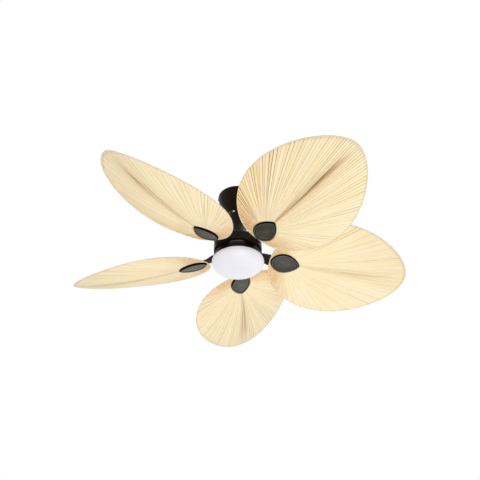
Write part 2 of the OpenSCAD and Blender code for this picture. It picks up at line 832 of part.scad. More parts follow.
// A shielded ball bearing, fast on the shaft
module bearing(top) {
    color("#b9bcc0")
        translate([0, 0, -top - bearing_w])
            rotate_extrude($fn = 64)
                polygon([[shaft_r + rod_gap, 0], [shaft_r + 3.2, 0], [shaft_r + 3.5, 0.7],
                         [bearing_r - 2.8, 0.7], [bearing_r - 2.5, 0], [bearing_r, 0],
                         [bearing_r, bearing_w], [bearing_r - 2.5, bearing_w],
                         [bearing_r - 2.8, bearing_w - 0.7], [shaft_r + 3.5, bearing_w - 0.7],
                         [shaft_r + 3.2, bearing_w], [shaft_r + rod_gap, bearing_w]]);
}
module upper_bearing() bearing(upper_bearing_top);
module lower_bearing() bearing(lower_bearing_top);

module stator_core() {
    color("#6d7176")
        translate([0, 0, -stator_mid - stator_h / 2])
            linear_extrude(stator_h)
                difference() {
                    union() {
                        circle(hub_r, $fn = 64);
                        for (i = [0 : teeth - 1])
                            rotate(360 * i / teeth)
                                translate([hub_r - 2, -tooth_w / 2])
                                    square([stator_r - hub_r - 0.5, tooth_w]);
                        difference() {
                            circle(stator_r, $fn = round_fn);
                            circle(stator_r - shoe_t, $fn = round_fn);
                            for (i = [0 : teeth - 1])
                                rotate(360 * (i + 0.5) / teeth)
                                    translate([hub_r, -1.6]) square([stator_r, 3.2]);
                        }
                    }
                    circle(journal_r + rod_gap, $fn = 64);
                }
}

module stator_windings() {
    coil_in = hub_r + 2;
    coil_out = stator_r - shoe_t - 1;
    color("#b06a3a")
        for (i = [0 : teeth - 1])
            rotate([0, 0, 360 * i / teeth])
                translate([coil_in, 0, -stator_mid])
                    difference() {
                        union() {
                            translate([0, -coil_w / 2, -stator_h / 2 - coil_rise + 2])
                                cube([coil_out - coil_in, coil_w, stator_h + 2 * coil_rise - 4]);
                            translate([0, -coil_w / 2 + 2, -stator_h / 2 - coil_rise])
                                cube([coil_out - coil_in, coil_w - 4, stator_h + 2 * coil_rise]);
                        }
                        translate([-1, -tooth_w / 2 - 0.1, -stator_h / 2 - 0.1])
                            cube([stator_r, tooth_w + 0.2, stator_h + 0.2]);
                    }
}

// The turning shell over the stator, cast with the upper bearing's seat
module rotor_shell() {
    wall_in = rotor_r - shell_t + 0.2;
    seat_r = bearing_r + fit_gap;
    color("#9b9ea2")
        difference() {
            rotate_extrude($fn = round_fn)
                polygon([[lip_hole_r, -upper_bearing_top + lip_t + 0.5], [boss_r - 1.5, -upper_bearing_top + lip_t + 0.5],
                         [boss_r, -upper_bearing_top + lip_t - 1], [boss_r, -shell_top],
                         [rotor_r - 3, -shell_top], [rotor_r, -shell_top - 3], [rotor_r, -flywheel_top + 4],
                         [flywheel_r - 3, -flywheel_top + 4], [flywheel_r - 3, -flywheel_top],
                         [wall_in, -flywheel_top], [wall_in, -shell_top - shell_t],
                         [boss_r, -shell_top - shell_t], [boss_r, -upper_bearing_bottom],
                         [seat_r, -upper_bearing_bottom], [seat_r, -upper_bearing_top + 0.5],
                         [lip_hole_r, -upper_bearing_top + 0.5]]);
            at_rotor_screws()
                cylinder(r = rotor_screw_r + screw_gap, h = 20, center = true, $fn = 32);
        }
}
rotor_screw_r = 1.6;
rotor_screw_pcr = (rotor_r + flywheel_r - 3) / 2;
module at_rotor_screws() {
    for (i = [0 : blade_count - 1])
        rotate([0, 0, first_blade + blade_step * (i + 0.5)])
            translate([rotor_screw_pcr, 0, -flywheel_top]) children();
}

module rotor_ring() {
    color("#55585c")
        translate([0, 0, -stator_mid - ring_h / 2])
            difference() {
                cylinder(r = rotor_r - shell_t, h = ring_h, $fn = round_fn);
                translate([0, 0, -1]) cylinder(r = ring_in, h = ring_h + 2, $fn = round_fn);
            }
}

// The flywheel closes the rotor and carries the blade irons
module flywheel() {
    seat_r = bearing_r + fit_gap;
    color("#85888c")
        difference() {
            rotate_extrude($fn = round_fn)
                polygon([[lip_hole_r, -iron_drop], [flywheel_r - 1, -iron_drop], [flywheel_r, -iron_drop + 1],
                         [flywheel_r, -flywheel_top - 1], [flywheel_r - 1, -flywheel_top],
                         [boss_r, -flywheel_top], [boss_r, -lower_bearing_top],
                         [seat_r, -lower_bearing_top], [seat_r, -lower_bearing_bottom - 0.5],
                         [lip_hole_r, -lower_bearing_bottom - 0.5]]);
            at_rotor_screws()
                cylinder(r = rotor_screw_r + thread_gap, h = 3 * flywheel_t, center = true, $fn = 32);
            at_iron_screws()
                cylinder(r = iron_screw_r + thread_gap, h = 4 * flywheel_t, center = true, $fn = 32);
        }
}

module rotor_screws() {
    color(nickel)
        at_rotor_screws()
            pan_head_screw(rotor_screw_r, flywheel_t + 3.5, 4);
}

module at_iron_screws() {
    for (i = [0 : blade_count - 1])
        rotate([0, 0, first_blade + blade_step * i])
            for (y = [-1, 1])
                translate([foot_screw_s, y * foot_screw_y, -iron_drop]) children();
}

module iron_screws() {
    color(nickel)
        at_iron_screws()
            rotate([180, 0, 0])
                pan_head_screw(iron_screw_r, arm_t + flywheel_t - 0.5, arm_t);
}

// =====================================================================
// Light: spacer, pan, board and a twist-lock opal shade
// =====================================================================
spacer_r = shaft_r + 3.5;
pan_wall = 1.5;
pan_lip_in = pan_r - 3.5;
pan_lip_t = 2;
washer_r = 14;
washer_t = 1;
nut_r = 12;
nut_h = 7.5;
board_r = 76;
board_t = 1.6;
board_drop = pan_bottom - 9;
post_r = 4;
post_pcr = 62;
post_angles = [30, 150, 270];
led_screw_r = 1.6;
collar_gap = 0.6;
collar_out = pan_lip_in - collar_gap;
lug_angle = 10;
notch_angle = 13;
lug_t = 2;
lug_reach = 2.2;
stop_angle = 3;
lugs = 3;

module shaft_spacer() {
    color(steel)
        rotate_extrude($fn = 64)
            polygon([[shaft_r + rod_gap, -lower_bearing_bottom], [spacer_r, -lower_bearing_bottom],
                     [spacer_r, -pan_top], [shaft_r + rod_gap, -pan_top]]);
}

// A sector of a ring, from angle a0 through sweep
module sector(r_in, r_out, a0, sweep, h) {
    rotate([0, 0, a0])
        rotate_extrude(angle = sweep, $fn = round_fn)
            translate([r_in, 0]) square([r_out - r_in, h]);
}

module light_pan() {
    color(bronze_lit)
        difference() {
            union() {
                rotate_extrude($fn = round_fn)
                    polygon([[shaft_r + rod_gap, -pan_top], [pan_r - 3, -pan_top], [pan_r - 0.9, -pan_top - 0.9],
                             [pan_r, -pan_top - 3], [pan_r, -pan_bottom + 0.8], [pan_r - 0.8, -pan_bottom],
                             [pan_lip_in, -pan_bottom], [pan_lip_in, -pan_bottom + pan_lip_t],
                             [pan_r - pan_wall, -pan_bottom + pan_lip_t], [pan_r - pan_wall, -pan_top - pan_wall],
                             [shaft_r + rod_gap, -pan_top - pan_wall]]);
                for (a = post_angles)
                    rotate([0, 0, a])
                        translate([post_pcr, 0, -board_drop])
                            cylinder(r = post_r, h = board_drop - pan_top - 1, $fn = 32);
                for (i = [0 : lugs - 1])
                    translate([0, 0, -pan_bottom + pan_lip_t - 0.2])
                        sector(pan_lip_in + 0.2, pan_r - pan_wall + 0.2,
                               360 / lugs * i + shade_turn + lug_angle / 2 + 1, stop_angle, 4);
            }
            for (a = post_angles)
                rotate([0, 0, a])
                    translate([post_pcr, 0, -board_drop - 1])
                        cylinder(r = led_screw_r + thread_gap, h = 8, $fn = 32);
            for (i = [0 : lugs - 1])
                translate([0, 0, -pan_bottom - 1])
                    sector(pan_lip_in - 2, pan_r - pan_wall + 0.3,
                           360 / lugs * i + shade_turn - notch_angle / 2, notch_angle, pan_lip_t + 1.5);
        }
}

module shaft_washer() {
    color(nickel)
        translate([0, 0, -pan_top - pan_wall - washer_t])
            difference() {
                cylinder(r = washer_r, h = washer_t, $fn = 48);
                translate([0, 0, -1]) cylinder(r = shaft_r + rod_gap, h = washer_t + 2, $fn = 48);
            }
}

module shaft_nut() {
    color(nickel)
        translate([0, 0, -pan_top - pan_wall - washer_t - nut_h])
            difference() {
                cylinder(r = nut_r, h = nut_h, $fn = 6);
                translate([0, 0, -1]) cylinder(r = shaft_r + rod_gap, h = nut_h + 2, $fn = 48);
            }
}

module led_driver() {
    box = [56, 34, 11];
    color("#e7e7e4")
        translate([0, 18 + box[1] / 2, -pan_top - pan_wall - box[2] / 2]) {
            cube([box[0], box[1] - 3, box[2]], center = true);
            cube([box[0] - 3, box[1], box[2]], center = true);
        }
}

module led_board() {
    chips = 18;
    chip = [3.5, 2.8, 0.9];
    color("#f1f1ee")
        difference() {
            union() {
                translate([0, 0, -board_drop - board_t]) cylinder(r = board_r, h = board_t, $fn = round_fn);
                for (i = [0 : chips - 1])
                    rotate([0, 0, 360 * (i + 0.5) / chips])
                        for (r = [0.45, 0.72])
                            translate([r * board_r, 0, -board_drop - board_t - chip[2] / 2 + 0.1])
                                cube(chip, center = true);
            }
            for (a = post_angles)
                rotate([0, 0, a])
                    translate([post_pcr, 0, -board_drop])
                        cylinder(r = led_screw_r + screw_gap, h = 8, center = true, $fn = 32);
        }
}

module led_screws() {
    color(nickel)
        for (a = post_angles)
            rotate([0, 0, a])
                translate([post_pcr, 0, -board_drop])
                    rotate([180, 0, 0])
                        pan_head_screw(led_screw_r, board_t + 5, board_t);
}

// The opal bowl: its collar goes up inside the pan's lip and three lugs rest on the lip
module shade() {
    steps = 12;
    collar_in = collar_out - shade_wall;
    collar_top = board_drop + board_t + 1.5;
    lug_drop = pan_bottom - pan_lip_t - skin_gap;
    color(opal) {
        rotate_extrude($fn = round_fn)
            polygon(concat(
                [[collar_in, -collar_top], [collar_out, -collar_top], [collar_out, -shade_top],
                 [shade_r - 2, -shade_top], [shade_r - 0.6, -shade_top - 0.6], [shade_r, -shade_top - 2]],
                [for (i = [0 : steps]) let (a = 90 * i / steps)
                    [i == steps ? 0 : shade_r * cos(a), -shade_rim - shade_depth * sin(a)]],
                [for (i = [steps : -1 : 0]) let (a = 90 * i / steps)
                    [i == steps ? 0 : (shade_r - shade_wall) * cos(a),
                     -shade_rim - (shade_depth - shade_wall) * sin(a)]],
                [[shade_r - shade_wall, -shade_top - shade_wall], [collar_in, -shade_top - shade_wall]]));
        for (i = [0 : lugs - 1])
            translate([0, 0, -lug_drop])
                sector(collar_out - 0.5, collar_out + lug_reach, 360 / lugs * i - lug_angle / 2, lug_angle, lug_t);
    }
}

mounting_bracket();
canopy();
canopy_screws();
receiver_module();
hanger_ball();
ball_pin();
downrod();
coupling_cover();
cover_collar();
cover_screws();
motor_yoke();
coupling_pin();
pin_clip();
yoke_set_screws();
upper_housing();
housing_screws();
motor_shaft();
upper_bearing();
lower_bearing();
stator_core();
stator_windings();
shaft_spacer();
light_pan();
shaft_washer();
shaft_nut();
led_driver();
led_board();
led_screws();
rotor_shell();
rotor_ring();
flywheel();
rotor_screws();
iron_screws();
blade_iron(1);  // blade_iron_1
blade_iron(2);  // blade_iron_2
blade_iron(3);  // blade_iron_3
blade_iron(4);  // blade_iron_4
blade_iron(5);  // blade_iron_5
blade(1);  // blade_1
blade(2);  // blade_2
blade(3);  // blade_3
blade(4);  // blade_4
blade(5);  // blade_5
clamp_plate(1);  // clamp_plate_1
clamp_plate(2);  // clamp_plate_2
clamp_plate(3);  // clamp_plate_3
clamp_plate(4);  // clamp_plate_4
clamp_plate(5);  // clamp_plate_5
blade_screws();
shade();
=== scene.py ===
# %% [markdown]
# # A palm-leaf ceiling fan with a light
# The frame holds the fan's real pieces, already in place and in metres: the canopy on the ceiling, the neck,
# the motor, the irons, the leaves and the opal bowl. This script never moves them. It gives every piece its
# finish, and it makes finer forms of the pieces that the eye rests on: the pleated leaves with their bound
# edges, the cast irons above and the pads below them, and the opal bowl.

# %% Load the frame
import math

import bmesh
import bpy
from mathutils import Matrix, Vector, noise


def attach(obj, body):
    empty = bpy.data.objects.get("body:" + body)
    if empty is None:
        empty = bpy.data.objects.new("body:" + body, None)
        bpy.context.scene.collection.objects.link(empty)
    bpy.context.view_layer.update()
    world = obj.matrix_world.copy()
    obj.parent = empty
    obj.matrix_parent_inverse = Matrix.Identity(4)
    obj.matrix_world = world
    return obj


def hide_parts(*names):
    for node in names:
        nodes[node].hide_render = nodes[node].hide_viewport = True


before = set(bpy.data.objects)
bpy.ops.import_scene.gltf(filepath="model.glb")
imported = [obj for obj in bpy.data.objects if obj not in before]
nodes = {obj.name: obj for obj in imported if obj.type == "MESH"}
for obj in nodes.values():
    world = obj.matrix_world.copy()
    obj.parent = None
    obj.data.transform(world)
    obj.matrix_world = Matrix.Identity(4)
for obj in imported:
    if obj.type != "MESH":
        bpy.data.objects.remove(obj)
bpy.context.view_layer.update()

MM = 0.001
print("pieces in the frame:", len(nodes))

# %% [markdown]
# ## The camera
# The photograph looks up at the fan from in front and below, from about three metres away. The camera stands
# where the leaves' outlines, the bowl's rim and the canopy fall on the places they have in the photograph.
# It is made first, so that every later choice can be judged in its picture.

# %% Camera
CAMERA_PLACE = Vector((0, -2325.6, -1994.2)) * MM
CAMERA_RIGHT = Vector((0.99995, 0.00393, -0.0097))
CAMERA_VIEW = Vector((0.00281, 0.79192, 0.61062))
FOCAL_MM = 60.12

camera_data = bpy.data.cameras.new("camera")
camera_data.lens = FOCAL_MM
camera_data.sensor_width = 36
camera = bpy.data.objects.new("camera", camera_data)
bpy.context.scene.collection.objects.link(camera)
back = -CAMERA_VIEW.normalized()
up = back.cross(CAMERA_RIGHT).normalized()
right = up.cross(back)
camera.matrix_world = Matrix.Translation(CAMERA_PLACE) @ Matrix((right, up, back)).transposed().to_4x4()
bpy.context.scene.camera = camera
print("camera height below the ceiling in mm:", round(-CAMERA_PLACE.z / MM))

# %% [markdown]
# ## The studio
# A product picture of a fan is lit broadly, so that the leaves read as pale and the pleats only just show.
# The world gives part of the light. A large soft lamp straight below the fan gives the rest: all five leaves are
# pitched by the same angle, so only light from below falls on all of them alike, and none shades another. A
# weaker lamp at the left grazes the pleats, one at the far right reaches the leaves that are pitched away from the
# others, and one above lights the upper sides, which the photograph doesn't show. The floor is far below, and the
# white behind the fan is the world itself, as the camera sees it.

# %% World and floor
SKY_LEVEL = 0.47


def add_node(tree, kind, values=None, links=None, **properties):
    """Adds a shader node, sets its properties and socket values, and links sockets into it."""
    node = tree.nodes.new("ShaderNode" + kind)
    for name, value in properties.items():
        setattr(node, name, value)
    for socket, value in (values or {}).items():
        node.inputs[socket].default_value = value
    for socket, source in (links or {}).items():
        tree.links.new(source, node.inputs[socket])
    return node


world = bpy.data.worlds.new("studio")
bpy.context.scene.world = world
world.use_nodes = True
sky = world.node_tree
sky.nodes.clear()
path = add_node(sky, "LightPath")
seen = add_node(sky, "Math", operation="MAXIMUM",
                links={0: path.outputs["Is Camera Ray"], 1: path.outputs["Is Glossy Ray"]})
seen = add_node(sky, "Math", operation="MAXIMUM",
                links={0: seen.outputs[0], 1: path.outputs["Is Transmission Ray"]})
level = add_node(sky, "MapRange", values={"To Min": SKY_LEVEL, "To Max": 1.0}, links={"Value": seen.outputs[0]})
glow = add_node(sky, "Background", values={"Color": (1, 1, 1, 1)}, links={"Strength": level.outputs[0]})
add_node(sky, "OutputWorld", links={"Surface": glow.outputs[0]})

FLOOR_DROP = 3.9
FLOOR_SIDE = 16.0
shape = bmesh.new()
bmesh.ops.create_grid(shape, x_segments=1, y_segments=1, size=FLOOR_SIDE / 2,
                      matrix=Matrix.Translation((0, 0, -FLOOR_DROP)))
floor_mesh = bpy.data.meshes.new("floor")
shape.to_mesh(floor_mesh)
shape.free()
floor = bpy.data.objects.new("floor", floor_mesh)
bpy.context.scene.collection.objects.link(floor)
print("floor below the ceiling in m:", FLOOR_DROP)

# %% Lamps
LAMPS = {
    # name: place in m, side in m, power in W
    "lamp_below": ((0.45, -0.9, -3.1), 2.6, 58),
    "lamp_side": ((-2.9, -1.4, -1.1), 1.2, 7),
    "lamp_far": ((1.7, 2.1, -2.1), 1.6, 11),
    "lamp_above": ((0.2, 0.5, 2.6), 2.4, 40),
}
for name, (place, side, power) in LAMPS.items():
    lamp_data = bpy.data.lights.new(name, "AREA")
    lamp_data.shape = "SQUARE"
    lamp_data.size = side
    lamp_data.energy = power
    lamp = bpy.data.objects.new(name, lamp_data)
    bpy.context.scene.collection.objects.link(lamp)
    aim = Vector((0, 0, -0.25)) - Vector(place)
    lamp.matrix_world = Matrix.Translation(place) @ aim.to_track_quat("-Z", "Y").to_matrix().to_4x4()
    print(name, "is", round(aim.length, 2), "m from the fan")
bpy.context.scene.view_settings.view_transform = "Standard"

# %% [markdown]
# ## Colours and a first material
# Colours are written as they are read off a screen, as sRGB hex values. Shaders work on linear values, so one
# function turns the first into the second. Every finish starts the same way: a principled shader, and the
# object's own coordinates counted in millimetres, so that a scale of 1 / 3 means a pattern three millimetres
# across.


# %% Helpers for finishes
def hex_colour(code):
    """Turns an sRGB hex value into a linear colour."""
    values = [int(code[i:i + 2], 16) / 255 for i in (1, 3, 5)]
    return [v / 12.92 if v <= 0.04045 else ((v + 0.055) / 1.055) ** 2.4 for v in values] + [1]


def start_material(name, **sockets):
    """Makes a material and returns it with its tree, its shader and coordinates in millimetres."""
    material = bpy.data.materials.new(name)
    material.use_nodes = True
    tree = material.node_tree
    shader = tree.nodes["Principled BSDF"]
    for socket, value in sockets.items():
        shader.inputs[socket.replace("_", " ").title().replace("Ior", "IOR")].default_value = value
    place = add_node(tree, "TexCoord")
    in_mm = add_node(tree, "VectorMath", operation="SCALE", values={"Scale": 1 / MM},
                     links={0: place.outputs["Object"]})
    return material, tree, shader, in_mm.outputs[0]


def link(tree, source, node, socket):
    tree.links.new(source, node.inputs[socket])


def give(material, *names):
    """Puts a material on CAD nodes."""
    for name in names:
        slots = nodes[name].data.materials
        slots.clear()
        slots.append(material)
    print(material.name, "is on", ", ".join(names))


# %% [markdown]
# ## A plain finish with a grain
# Cast, moulded, pressed and plated pieces differ in colour, gloss and grain, but the same three things make
# each of them look real: the colour wanders a little, the gloss wanders with it, and a fine relief breaks the
# highlight. One function holds those three, and what is special about a finish is added after it.


# %% Grained finish
def grained(name, dark, light, grain, rough, relief, blotch=40, stretch=(1, 1, 1), **sockets):
    """A finish whose colour runs from dark to light in blotches, over a grain of that many millimetres."""
    material, tree, shader, in_mm = start_material(name, **sockets)
    drawn = add_node(tree, "Mapping", values={"Scale": stretch}, links={"Vector": in_mm})
    large = add_node(tree, "TexNoise", values={"Scale": 1 / blotch, "Detail": 3.0}, links={"Vector": in_mm})
    fine = add_node(tree, "TexNoise", values={"Scale": 1 / grain, "Detail": 4.0, "Roughness": 0.6},
                    links={"Vector": drawn.outputs[0]})
    both = add_node(tree, "Mix", data_type="FLOAT", values={0: 0.5},
                    links={2: large.outputs[0], 3: fine.outputs[0]})
    ramp = add_node(tree, "ValToRGB", links={0: both.outputs[0]})
    ramp.color_ramp.elements[0].position, ramp.color_ramp.elements[1].position = 0.36, 0.64
    ramp.color_ramp.elements[0].color, ramp.color_ramp.elements[1].color = hex_colour(dark), hex_colour(light)
    gloss = add_node(tree, "MapRange", links={"Value": both.outputs[0]},
                     values={"From Min": 0.35, "From Max": 0.65, "To Min": rough[0], "To Max": rough[1]})
    bump = add_node(tree, "Bump", values={"Strength": 1.0, "Distance": relief * MM},
                    links={"Height": fine.outputs[0]})
    link(tree, ramp.outputs[0], shader, "Base Color")
    link(tree, gloss.outputs[0], shader, "Roughness")
    link(tree, bump.outputs[0], shader, "Normal")
    return material


# %% [markdown]
# ## The dark bronze paint
# The canopy, the neck, the housing and the light pan are pressed steel with a baked paint that shops call
# oil-rubbed bronze. It is a brown so deep that it reads as black, with a satin gloss and a faint orange peel.
# The irons are cast and have the same paint. The pads under the leaves are rubbed after painting. On the crest of
# the rim their paint is drawn lighter and glossier, as wear and as a painted highlight where the rounded step
# catches the light. In the groove beside it and round the edge it is drawn dark and dull, as painted shade. Each
# point of a pad carries a value for this.

# %% Bronze paint and castings
WARM = {"specular_tint": (1.0, 0.74, 0.5, 1.0)}
bronze_paint = grained("oil_rubbed_bronze_paint", "#0b0804", "#140f09", 2.5, (0.36, 0.48), 0.015,
                       specular_ior_level=0.12, **WARM)
bronze_iron = grained("painted_cast_iron", "#100c08", "#1c1611", 1.6, (0.4, 0.55), 0.05, blotch=18,
                      specular_ior_level=0.2, **WARM)
bronze_pad = grained("rubbed_bronze_casting_and_painted_light", "#36332b", "#595448", 1.6, (0.3, 0.42), 0.05, blotch=14)
tree = bronze_pad.node_tree
shader = tree.nodes["Principled BSDF"]
# A low value makes the paint dark and dull, as painted shade in the groove and round the edge. A high one leaves the
# crest lighter and glossy, as wear and painted highlight.
wear_and_light = add_node(tree, "Attribute", attribute_name="wear_and_painted_light").outputs["Fac"]
bare = shader.inputs["Base Color"].links[0].from_socket
worn_and_shaded = add_node(tree, "Mix", data_type="RGBA", values={6: hex_colour("#0b0805")}, links={0: wear_and_light, 7: bare})
specular_wear_and_shade = add_node(tree, "MapRange", values={"To Min": 0.02, "To Max": 0.75}, links={"Value": wear_and_light})
link(tree, worn_and_shaded.outputs[2], shader, "Base Color")
link(tree, specular_wear_and_shade.outputs[0], shader, "Specular IOR Level")
give(bronze_paint, "canopy", "canopy_screws", "downrod", "coupling_cover", "upper_housing", "light_pan")
BLADES = range(1, 6)
give(bronze_iron, "cover_collar", *[f"blade_iron_{i}" for i in BLADES])
give(bronze_pad, *[f"clamp_plate_{i}" for i in BLADES])

# %% [markdown]
# ## The metals
# Nickel-plated screws are bright and a little warm. Zinc-plated steel is greyer, with the broad spangle of
# its crystals. Turned steel carries fine rings round its axis, which a grain stretched along the axis gives.
# Die-cast aluminium has a fine, dull skin, and the rotor's iron and the yoke are darker and coarser.

# %% Metals
METAL = {"metallic": 1.0}
nickel = grained("nickel_plated_steel", "#b9b4aa", "#e6e3dc", 0.6, (0.18, 0.3), 0.004, blotch=6, **METAL)
zinc = grained("zinc_plated_steel", "#9da1a5", "#c3c6c9", 5, (0.3, 0.45), 0.01, **METAL)
turned = grained("turned_steel", "#6f7276", "#94979b", 0.5, (0.22, 0.38), 0.01, stretch=(1, 1, 12), **METAL)
spring = grained("spring_steel", "#7d7b76", "#a3a19b", 0.8, (0.25, 0.4), 0.01, **METAL)
ground = grained("ground_bearing_steel", "#9a9da0", "#c4c6c8", 0.4, (0.12, 0.25), 0.004, stretch=(1, 1, 8), **METAL)
grey_iron = grained("cast_grey_iron", "#3a3c3f", "#54575a", 1.2, (0.5, 0.7), 0.12, blotch=15, metallic=0.8)
rotor_iron = grained("rolled_rotor_iron", "#44474a", "#63666a", 2.0, (0.4, 0.6), 0.03, stretch=(1, 1, 0.2), **METAL)
aluminium = grained("die_cast_aluminium", "#8a8d90", "#aeb0b3", 1.0, (0.38, 0.55), 0.04, blotch=22, **METAL)
give(nickel, "cover_screws", "housing_screws", "shaft_washer", "shaft_nut", "led_screws", "rotor_screws",
     "iron_screws", "blade_screws")
give(zinc, "mounting_bracket")
give(turned, "ball_pin", "coupling_pin", "yoke_set_screws", "motor_shaft", "shaft_spacer")
give(spring, "pin_clip")
give(ground, "upper_bearing", "lower_bearing")
give(grey_iron, "motor_yoke")
give(rotor_iron, "rotor_ring")
give(aluminium, "rotor_shell", "flywheel")

# %% [markdown]
# ## The stator
# Its core is a stack of thin steel sheets, so its edge shows a line for every half millimetre. They are drawn
# a millimetre apart here, because half a millimetre would not show. The coils are enamelled copper wire, wound
# in layers round each tooth.

# %% Laminations and windings
laminations = grained("lamination_steel", "#4f5357", "#74787c", 1.5, (0.35, 0.5), 0.02, **METAL)
windings = grained("enamelled_copper_wire", "#7c3f1d", "#b5673a", 2.0, (0.25, 0.4), 0.05, **METAL)
for material, pitch, depth in ((laminations, 1.0, 0.15), (windings, 1.4, 0.5)):
    tree = material.node_tree
    place = add_node(tree, "TexCoord")
    in_mm = add_node(tree, "VectorMath", operation="SCALE", values={"Scale": 1 / MM},
                     links={0: place.outputs["Object"]})
    layers = add_node(tree, "TexWave", bands_direction="Z", values={"Scale": math.pi / 10 / pitch},
                      links={"Vector": in_mm.outputs[0]})
    first = next(n for n in tree.nodes if n.bl_idname == "ShaderNodeBump")
    ridges = add_node(tree, "Bump", values={"Strength": 1.0, "Distance": depth * MM},
                      links={"Height": layers.outputs["Fac"], "Normal": first.outputs[0]})
    link(tree, ridges.outputs[0], tree.nodes["Principled BSDF"], "Normal")
give(laminations, "stator_core")
give(windings, "stator_windings")

# %% [markdown]
# ## The plastics and the board
# The receiver's box is black ABS with a spark-eroded texture, the hanger ball is dark nylon, and the driver's
# box is white ABS. The board is aluminium under a white solder resist, which is a glossy paint.

# %% Plastics and the board
black_abs = grained("black_moulded_abs", "#141517", "#1f2022", 0.9, (0.45, 0.6), 0.03)
nylon = grained("dark_moulded_nylon", "#222224", "#333336", 1.4, (0.35, 0.5), 0.02)
white_abs = grained("white_moulded_abs", "#d9d8d3", "#e8e7e3", 0.9, (0.4, 0.55), 0.02)
resist = grained("white_solder_resist", "#e2e3df", "#f0f1ee", 3.0, (0.15, 0.3), 0.004)
give(black_abs, "receiver_module")
give(nylon, "hanger_ball")
give(white_abs, "led_driver")
give(resist, "led_board")

# %% [markdown]
# ## The opal bowl
# Opal acrylic is a clear plastic filled with a white powder, so light goes in, scatters and comes back out.
# That makes it look white and even, a little darker where it curves away, with one soft gloss. Subsurface
# scattering gives part of that, and a little light from the dimmed lamp behind it gives the rest.

# %% Opal acrylic
opal, tree, shader, in_mm = start_material("opal_acrylic", ior=1.49, subsurface_weight=0.35, subsurface_scale=0.004,
                                           emission_strength=0.3)
shader.inputs["Subsurface Radius"].default_value = (1.0, 0.95, 0.9)
cloud = add_node(tree, "TexNoise", values={"Scale": 1 / 55, "Detail": 2.0}, links={"Vector": in_mm})
tint = add_node(tree, "ValToRGB", links={0: cloud.outputs[0]})
tint.color_ramp.elements[0].color, tint.color_ramp.elements[1].color = hex_colour("#c3c2c8"), hex_colour("#cac9ce")
shader.inputs["Emission Color"].default_value = hex_colour("#eeedf3")
skin = add_node(tree, "TexNoise", values={"Scale": 1 / 2.5, "Detail": 2.0}, links={"Vector": in_mm})
gloss = add_node(tree, "MapRange", values={"To Min": 0.3, "To Max": 0.42}, links={"Value": skin.outputs[0]})
bump = add_node(tree, "Bump", values={"Distance": 0.006 * MM}, links={"Height": skin.outputs[0]})
link(tree, tint.outputs[0], shader, "Base Color")
link(tree, gloss.outputs[0], shader, "Roughness")
link(tree, bump.outputs[0], shader, "Normal")
give(opal, "shade")

# %% [markdown]
# ## The leaf's shape
# A fan palm's leaf is one sheet, folded like a paper fan: the pleats start together at the stalk and grow
# wider and deeper towards the edge. It is cut to an oval, so the pleats at the sides are short and wide apart
# and those at the tip are long and close.
#
# The way to make it is a flat grid whose columns are the pleats and whose rows run from the stalk to the
# edge. Every point of the grid is then moved to its place on the leaf. The values are those of the frame's
# own leaf, so the finer leaf lies where the frame's leaf was. Only the pleats are shallower than the frame's 5 mm,
# because in the photograph they are soft.

# %% Leaf values, in millimetres
LEAF_LENGTH = 541
LEAF_WIDTH = 384
LEAF_THICK = 1.6
PLEATS = 52
PLEAT_DEPTH = 2.2
LEAF_PITCH, LEAF_TWIST, ROOT_DROOP = 21.5, 4, 3
TIP_LIFT, LEAF_CUP = 54, 18
CLAMP_OUT, CLAMP_DROP = 179, 274.5
FIRST_BLADE, BLADE_STEP = 15.2, 72
PALM_X = -5
FLAT_R = 60
ROOT_X = -60
TIP_X = ROOT_X + LEAF_LENGTH
FREE_X = PALM_X + FLAT_R
FOLD_SHARES = ((0.0, 0.0), (0.34, 0.8), (0.68, 1.0), (1.0, 0.25))    # of the way out, of the depth
FOLD_FADE = 60
BINDING = 1.2       # how far the bound edge stands outside the leaf


def leaf_edge(turn):
    """A point of the outline, turn running from 0 at the root round the leaf to 1."""
    a = math.pi * (2 * turn - 1)
    u = (1 + math.cos(a)) / 2
    half = LEAF_WIDTH / 2 * max(0.0, math.sin(math.pi * u ** 0.82)) ** 0.54
    return Vector((ROOT_X + LEAF_LENGTH * u, math.copysign(half, math.sin(a)) if half else 0.0))


def leaf_bend(x, y, z):
    """Bows, cups and twists a flat point of the leaf."""
    out = max(0.0, x - FREE_X) / (TIP_X - FREE_X)
    past_flat = max(0.0, abs(y) - FLAT_R) / (LEAF_WIDTH / 2 - FLAT_R)
    z += TIP_LIFT * out * out + LEAF_CUP * past_flat ** 1.3
    turn = math.radians(LEAF_TWIST) * out
    return Vector((x, y * math.cos(turn) + z * math.sin(turn), z * math.cos(turn) - y * math.sin(turn)))


def blade_place(i):
    """The matrix that puts a blade's own millimetres in the row frame."""
    return (Matrix.Scale(MM, 4)
            @ Matrix.Rotation(math.radians(FIRST_BLADE + BLADE_STEP * (i - 1)), 4, "Z")
            @ Matrix.Translation((CLAMP_OUT, 0, -CLAMP_DROP))
            @ Matrix.Rotation(math.radians(-LEAF_PITCH), 4, "X")
            @ Matrix.Rotation(math.radians(ROOT_DROOP), 4, "Y"))


print("leaf from", round(ROOT_X), "to", round(TIP_X), "mm along its midrib")

# %% [markdown]
# ## Pleats on a grid
# A pleat is a zigzag with a crease that is not quite sharp. Each half pleat gets four columns, two of them
# close to the creases, so that the sides stay flat and the crease stays narrow. No two pleats of a real leaf
# are alike, so each gets its own depth and a small wander, which fade out towards the stalk.

# %% Make one leaf
STEPS = (0.0, 0.12, 0.5, 0.88)          # columns of a half pleat, as shares of its width
COLUMNS = 2 * PLEATS * len(STEPS)
ROWS = 30
FLAT_ROWS = 0.1                         # share of the rows that lie in the flat patch


def pleat_width(column):
    """Width of the pleat at a column of the fan, along the edge, against one at the side."""
    step = 1 / (2 * PLEATS)
    widths = [(leaf_edge(t + step) - leaf_edge(t - step)).length for t in (column, 0.25)]
    return widths[0] / widths[1]


